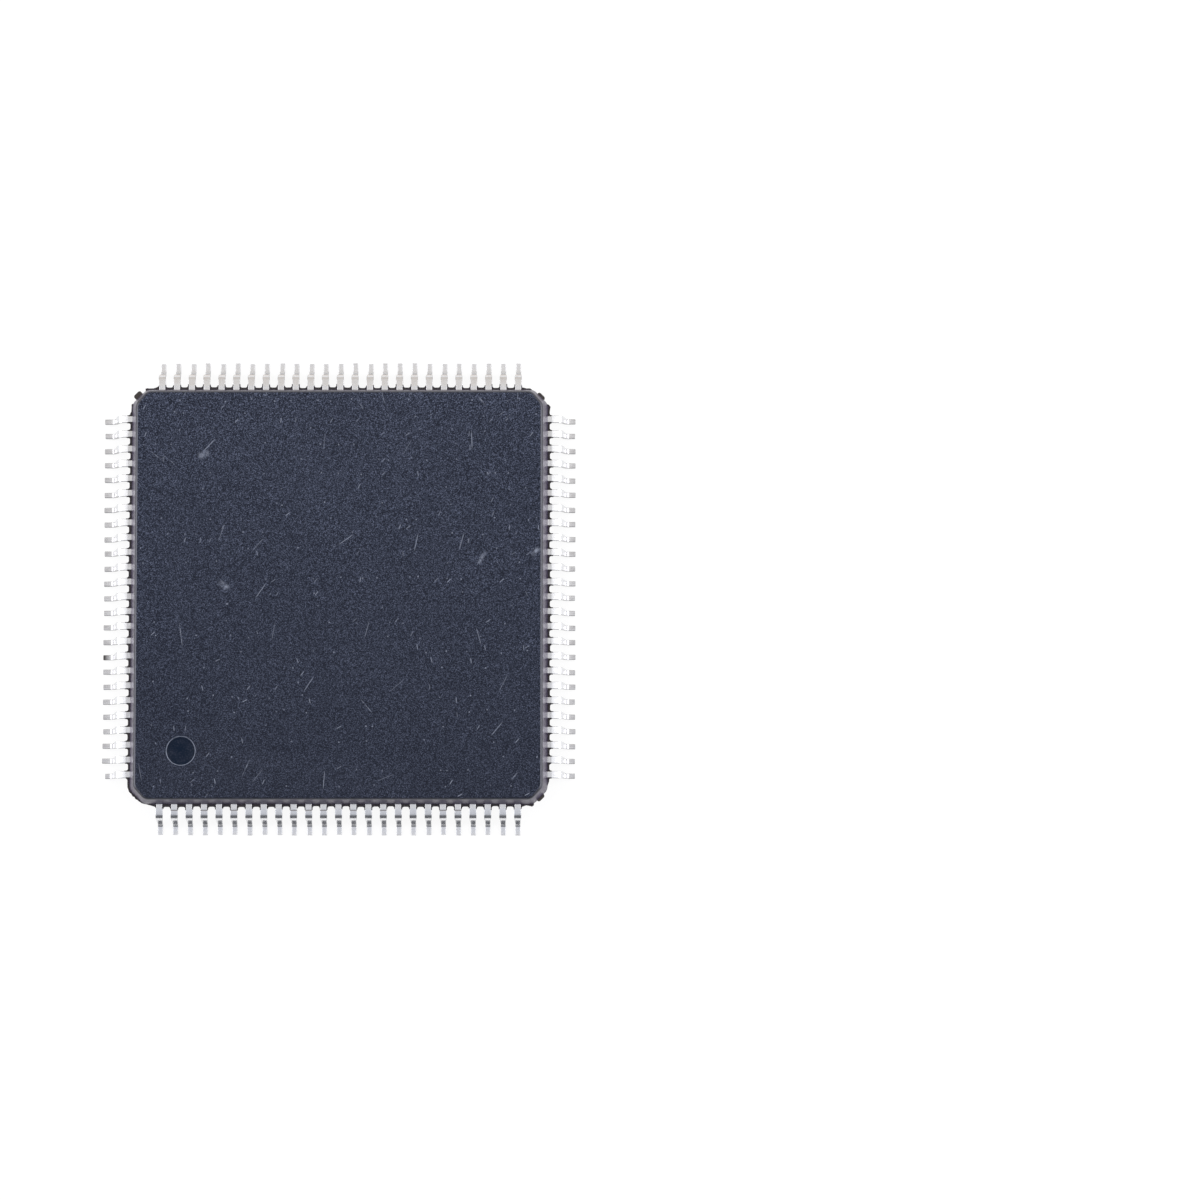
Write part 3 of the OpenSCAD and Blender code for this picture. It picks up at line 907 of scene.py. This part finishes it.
class LeadRow:
    """Makes one side's leads, each swept along its bent path with small faults of its own."""

    # Edges past this angle, in degrees, stay sharp
    SHARP = 40
    SEED = 40
    BEND_STEPS = 8
    ROUND_STEPS = 3
    SUPPORT = 0.006 * MM
    END_ROUND = 0.012 * MM
    # Share of the foot's full length on each side
    FOOT_SHARES = {"east": 0.76, "north": 1.0, "west": 0.93, "south": 1.0}
    # Leads with faults, as {(side, number from the middle): (share of the foot, burnt foot)}
    FAULTS = {("west", 4): (1.0, True), ("west", 11): (1.06, False), ("west", 12): (0.62, False)}

    def __init__(self, side, leads, half):
        self.side = side
        self.leads = leads
        self.half = half
        self.level = LEAD_HIGH.z - leads.thickness / 2
        self.reach = LEAD_HIGH.x
        self.inner = LEAD_LOW.x
        self.chance = random.Random(self.SEED + side)
        self.bm = bmesh.new()
        self.tone = self.bm.verts.layers.float.new(TONE)
        self.burnt = self.bm.verts.layers.float.new(BURNT)
        self.path, self.foot_start = self.bent_path()

    def bent_path(self):
        """(distance out, height, downward turn) from a lead's tip to its foot, and the foot's start."""
        leads = self.leads
        middle = leads.bend_radius + leads.thickness / 2
        first = self.half + leads.flat
        neck = self.half + leads.neck_length
        shoulder = neck + leads.neck_step
        fall = (first + middle * math.sin(leads.droop) - shoulder) * math.tan(leads.droop)
        first_z = self.level - middle * math.cos(leads.droop) - fall
        second_z = middle + leads.thickness / 2
        drop = first_z - second_z + 2 * middle * math.cos(leads.slope)
        run = 2 * middle * math.sin(leads.slope) + drop / math.tan(leads.slope)
        second = first + run
        flat = [self.inner, self.half - leads.straight_in, self.half, neck, shoulder]
        path = [(out, self.level, 0.0) for out in flat]
        for t in even_steps(leads.droop, leads.slope, self.BEND_STEPS):
            path.append((first + middle * math.sin(t), first_z + middle * math.cos(t), t))
        for t in even_steps(leads.slope, 0.0, self.BEND_STEPS):
            path.append((second - middle * math.sin(t), second_z - middle * math.cos(t), t))
        path.append((self.reach - self.END_ROUND, leads.thickness / 2, 0.0))
        path.append((self.reach, leads.thickness / 2, 0.0))
        return path, second

    def width(self, out):
        """Width of a lead at a distance from the part's centre."""
        leads, half = self.leads, self.half
        marks = [
            (self.inner, leads.tip_width),
            (half - leads.straight_in, leads.neck_width),
            (half + leads.neck_length, leads.neck_width),
            (half + leads.neck_length + leads.neck_step, leads.shoulder_width),
            (half + leads.shoulder_end, leads.shoulder_width),
            (half + leads.shoulder_end + leads.shoulder_taper, leads.foot_width),
            (self.reach, leads.foot_width),
        ]
        for (start, first), (end, second) in zip(marks, marks[1:]):
            if out <= end:
                share = max(0.0, (out - start) / (end - start))
                return first + (second - first) * share
        return leads.foot_width

    def middle(self, number, out):
        """Sideways place of a lead's middle, which fans in towards the chip."""
        leads = self.leads
        last = (leads.count - 1) / 2
        fan = self.half - leads.straight_in
        tip_pitch = (self.inner - leads.tip_corner) / last
        share = min(1.0, max(0.0, (fan - out) / (fan - self.inner)))
        return number * (leads.pitch + (tip_pitch - leads.pitch) * share)

    def section(self, width, shrink):
        """(sideways, upward) points of a lead's section, with supports beside each rounding."""
        wide = width / 2 - shrink
        tall = self.leads.thickness / 2 - shrink
        radius = self.leads.edge_round
        points = []
        for corner, (sx, sy) in enumerate(((1, 1), (-1, 1), (-1, -1), (1, -1))):
            centre = Vector((sx * (wide - radius), sy * (tall - radius)))
            turns = even_steps(QUARTER * corner, QUARTER * (corner + 1), self.ROUND_STEPS)
            arc = [centre + radius * heading(turn) for turn in turns]
            before = arc[0] - self.SUPPORT * heading(turns[-1])
            after = arc[-1] - self.SUPPORT * heading(turns[0])
            points += [before, *arc, after]
        return points

    def add_lead(self, number):
        """One lead, with its own lean, foot length and tone."""
        side = SIDES[self.side]
        lean = self.chance.uniform(-1, 1) * self.leads.skew
        cut = self.FOOT_SHARES[side] * (1 - self.chance.random() * self.leads.shortfall)
        tone = self.chance.random()
        fault, burnt = self.FAULTS.get((side, number), (1.0, False))
        share = min(1.0, cut * fault)
        neck = self.half + self.leads.neck_length
        loops = []
        for i, (out, z, turn) in enumerate(self.path):
            shrink = self.END_ROUND if i in (0, len(self.path) - 1) else 0.0
            loop = []
            for across, up in self.section(self.width(out), shrink):
                u = out + up * math.sin(turn)
                if u > self.foot_start:
                    u = self.foot_start + (u - self.foot_start) * share
                v = self.middle(number, out) + across + lean * max(0.0, u - neck)
                at = turned((u, v), self.side)
                vert = self.bm.verts.new((at.x, at.y, z + up * math.cos(turn)))
                vert[self.tone] = tone
                vert[self.burnt] = 1.0 if burnt and u > self.foot_start else 0.0
                loop.append(vert)
            loops.append(loop)
        for first, second in zip(loops, loops[1:]):
            skin_between(self.bm, first, second, 0)
        self.bm.faces.new(loops[0])
        self.bm.faces.new(loops[-1])

    def build(self):
        """All leads of the side."""
        last = (self.leads.count - 1) / 2
        for i in range(self.leads.count):
            self.add_lead(i - last)
        bmesh.ops.recalc_face_normals(self.bm, faces=self.bm.faces)
        return self.bm


# Soft boxes, as (name, place, width, height, setting that gives the brightness, tint)
SOFT_BOXES = (
    ("left_box", (-0.34, 0.02, 0.26), 0.36, 0.3, "side_light", (0.96, 0.95, 1.0)),
    ("right_box", (0.34, 0.02, 0.26), 0.36, 0.3, "side_light", (0.96, 0.95, 1.0)),
    ("high_left_box", (-0.165, 0.04, 0.4), 0.18, 0.15, "high_light", (1.0, 1.0, 1.0)),
    ("high_right_box", (0.125, 0.04, 0.4), 0.18, 0.15, "high_light", (1.0, 1.0, 1.0)),
)
# Tints of the room in front of the part and behind it
COOL = (0.90, 0.925, 1.0)
WARM = (1.0, 0.965, 0.93)
# Paper on the floor, and the colour, strength and share of its glow
PAPER = (0.945, 0.945, 0.945)
WHITE = (1.0, 1.0, 1.0)
PAPER_GLOW = 1.06
GLOW_SHARE = 0.85


def area_lamp(name, place, width, height, radiance, tint):
    """A soft box that faces the part, with its brightness as radiance."""
    data = bpy.data.lights.new(name, "AREA")
    data.shape = "RECTANGLE"
    data.size = width
    data.size_y = height
    data.energy = radiance * math.pi * width * height
    data.color = tint
    lamp = bpy.data.objects.new(name, data)
    lamp.location = place
    lamp.rotation_mode = "QUATERNION"
    lamp.rotation_quaternion = (-Vector(place)).to_track_quat("-Z", "Y")
    bpy.context.scene.collection.objects.link(lamp)


def studio_room(front, back):
    """A room that is dim and cool in front of the part, and brighter and warmer behind it."""
    room = Finish(bpy.data.worlds.new("room"))
    way = room.node("ShaderNodeTexCoord", out="Generated")
    depth = room.parts(way)[1]
    tint = room.blend(room.ramp(depth, 0.045, 0.145), COOL, WARM)
    glow = room.ramp(depth, -0.62, -0.06, front, back)
    sky = room.node("ShaderNodeBackground", {}, {"Color": tint, "Strength": glow})
    room.node("ShaderNodeOutputWorld", {}, {"Surface": sky})
    return room.block


def pale_floor():
    """White paper that looks white to the camera and in reflections, and still takes shadows."""
    finish = new_finish("pale_floor")
    camera = finish.node("ShaderNodeLightPath", out="Is Camera Ray")
    seen = finish.most(camera, camera.beside("Is Glossy Ray"))
    seen = finish.most(seen, camera.beside("Is Transmission Ray"))
    matte = finish.node("ShaderNodeBsdfDiffuse", {}, {"Color": opaque(PAPER)})
    glow = finish.node("ShaderNodeEmission", {}, {"Color": opaque(WHITE), "Strength": PAPER_GLOW})
    face = finish.node("ShaderNodeMixShader", {}, {0: seen * GLOW_SHARE, 1: matte, 2: glow})
    clear = finish.node("ShaderNodeBsdfTransparent")
    behind = finish.node("ShaderNodeNewGeometry", out="Backfacing")
    sheet = finish.node("ShaderNodeMixShader", {}, {0: behind, 1: face, 2: clear})
    finish.node("ShaderNodeOutputMaterial", {}, {"Surface": sheet})
    return finish.block


def floor_mesh(radius, rim_height):
    """A round floor whose rim curves up."""
    bm = bmesh.new()
    steps = 12
    around = [heading(turn) for turn in even_steps(0, WHOLE, 96)[:-1]]
    profile = [(r, 0.0) for r in even_steps(0, radius, steps)[1:]]
    turns = even_steps(0, QUARTER, steps)[1:]
    profile += [(radius + rim_height * math.sin(t), rim_height * (1 - math.cos(t))) for t in turns]
    loops = [level_loop(bm, [r * way for way in around], z) for r, z in profile]
    bm.faces.new(loops[0])
    for first, second in zip(loops, loops[1:]):
        skin_between(bm, first, second, 0)
    for face in bm.faces:
        face.normal_update()
        if face.normal.z < 0:
            face.normal_flip()
    mesh = bpy.data.meshes.new("floor")
    bm.to_mesh(mesh)
    bm.free()
    mesh.shade_smooth()
    return mesh


class CHIP_OT_moulded_body(bpy.types.Operator):
    """Make the moulded body with its flash, gate scar, dimple and ejector marks"""

    bl_idname = "chip.moulded_body"
    bl_label = "Moulded body"

    def execute(self, context):
        scene = context.scene
        bm = MouldedBody(scene.chip_body, scene.chip_flash, scene.chip_leads).build()
        colours = scene.chip_colours
        finishes = (matte_resin, wall_resin, rim_resin, polished_resin, flash_resin)
        materials = [finish(colours) for finish in finishes]
        smooth_piece("resin_body", bm, materials, "moulded_body", MouldedBody.SHARP)
        return {"FINISHED"}


class CHIP_OT_leads(bpy.types.Operator):
    """Make the four rows of gull-wing leads"""

    bl_idname = "chip.leads"
    bl_label = "Leads"

    def execute(self, context):
        scene = context.scene
        half = scene.chip_body.width / 2
        plating = tin_plating(scene.chip_colours, half)
        for number, side in enumerate(SIDES):
            bm = LeadRow(number, scene.chip_leads, half).build()
            name = "lead_row_" + side
            row = smooth_piece(name, bm, [plating], "leads_" + side, LeadRow.SHARP)
            shading = row.modifiers.new("even_flats", "WEIGHTED_NORMAL")
            shading.weight = 100
            shading.keep_sharp = True
        return {"FINISHED"}


class CHIP_OT_lead_frame(bpy.types.Operator):
    """Finish the chip pad with its bars, and the glue on it"""

    bl_idname = "chip.lead_frame"
    bl_label = "Chip pad and glue"

    def execute(self, context):
        colours = context.scene.chip_colours
        half = context.scene.chip_body.width / 2
        pad = dress("chip_pad", frame_copper(colours, half))
        edge = pad.modifiers.new("cut_edges", "BEVEL")
        edge.width = CUT_EDGE
        edge.segments = 2
        dress("chip_glue", silver_glue(colours))
        return {"FINISHED"}


class CHIP_OT_die(bpy.types.Operator):
    """Finish the silicon chip and its bond wires"""

    bl_idname = "chip.die"
    bl_label = "Chip and bond wires"

    def execute(self, context):
        colours = context.scene.chip_colours
        dress("chip", silicon_face(colours))
        gold = gold_wire(colours)
        for side in SIDES:
            dress("bond_wires_" + side, gold).data.shade_smooth()
        return {"FINISHED"}


class CHIP_OT_stage(bpy.types.Operator):
    """Make the floor, the lamps and the camera"""

    bl_idname = "chip.stage"
    bl_label = "Stage"

    def execute(self, context):
        scene = context.scene
        stage = scene.chip_stage
        floor = bpy.data.objects.new("floor", floor_mesh(stage.floor_radius, stage.rim_height))
        floor.data.materials.append(pale_floor())
        scene.collection.objects.link(floor)

        for name, place, width, height, setting, tint in SOFT_BOXES:
            area_lamp(name, place, width, height, getattr(stage, setting), tint)
        scene.world = studio_room(stage.room_front, stage.room_back)

        data = bpy.data.cameras.new("camera")
        data.lens = stage.lens
        data.clip_start = stage.distance / 10
        camera = bpy.data.objects.new("camera", data)
        back = Vector((0, -math.cos(stage.elevation), math.sin(stage.elevation)))
        camera.location = Vector((stage.aim_right, -stage.aim_front, 0)) + back * stage.distance
        camera.rotation_mode = "QUATERNION"
        camera.rotation_quaternion = (-back).to_track_quat("-Z", "Y")
        scene.collection.objects.link(camera)
        scene.camera = camera
        scene.view_settings.view_transform = "Standard"
        return {"FINISHED"}


OPERATORS = (
    CHIP_OT_moulded_body,
    CHIP_OT_leads,
    CHIP_OT_lead_frame,
    CHIP_OT_die,
    CHIP_OT_stage,
)
GROUPS = {
    "chip_body": ChipBody,
    "chip_flash": ChipFlash,
    "chip_leads": ChipLeads,
    "chip_colours": ChipColours,
    "chip_stage": ChipStage,
}


class CHIP_PT_panel(bpy.types.Panel):
    """Sizes, colours and pieces of the integrated circuit"""

    bl_idname = "CHIP_PT_panel"
    bl_label = "Integrated circuit"
    bl_space_type = "VIEW_3D"
    bl_region_type = "UI"
    bl_category = "Chip"

    def draw(self, context):
        for name, group in GROUPS.items():
            box = self.layout.box()
            box.label(text=group.__doc__)
            for setting in group.__annotations__:
                box.prop(getattr(context.scene, name), setting)
        for operator in OPERATORS:
            self.layout.operator(operator.bl_idname)


def register():
    for group in GROUPS.values():
        bpy.utils.register_class(group)
    for name, group in GROUPS.items():
        setattr(bpy.types.Scene, name, PointerProperty(type=group))
    for operator in OPERATORS:
        bpy.utils.register_class(operator)
    bpy.utils.register_class(CHIP_PT_panel)


def unregister():
    bpy.utils.unregister_class(CHIP_PT_panel)
    for operator in reversed(OPERATORS):
        bpy.utils.unregister_class(operator)
    for name in GROUPS:
        delattr(bpy.types.Scene, name)
    for group in GROUPS.values():
        bpy.utils.unregister_class(group)


def main():
    register()
    bpy.ops.chip.stage()
    bpy.ops.chip.moulded_body()
    bpy.ops.chip.leads()
    bpy.ops.chip.lead_frame()
    bpy.ops.chip.die()


if __name__ == "__main__":
    main()
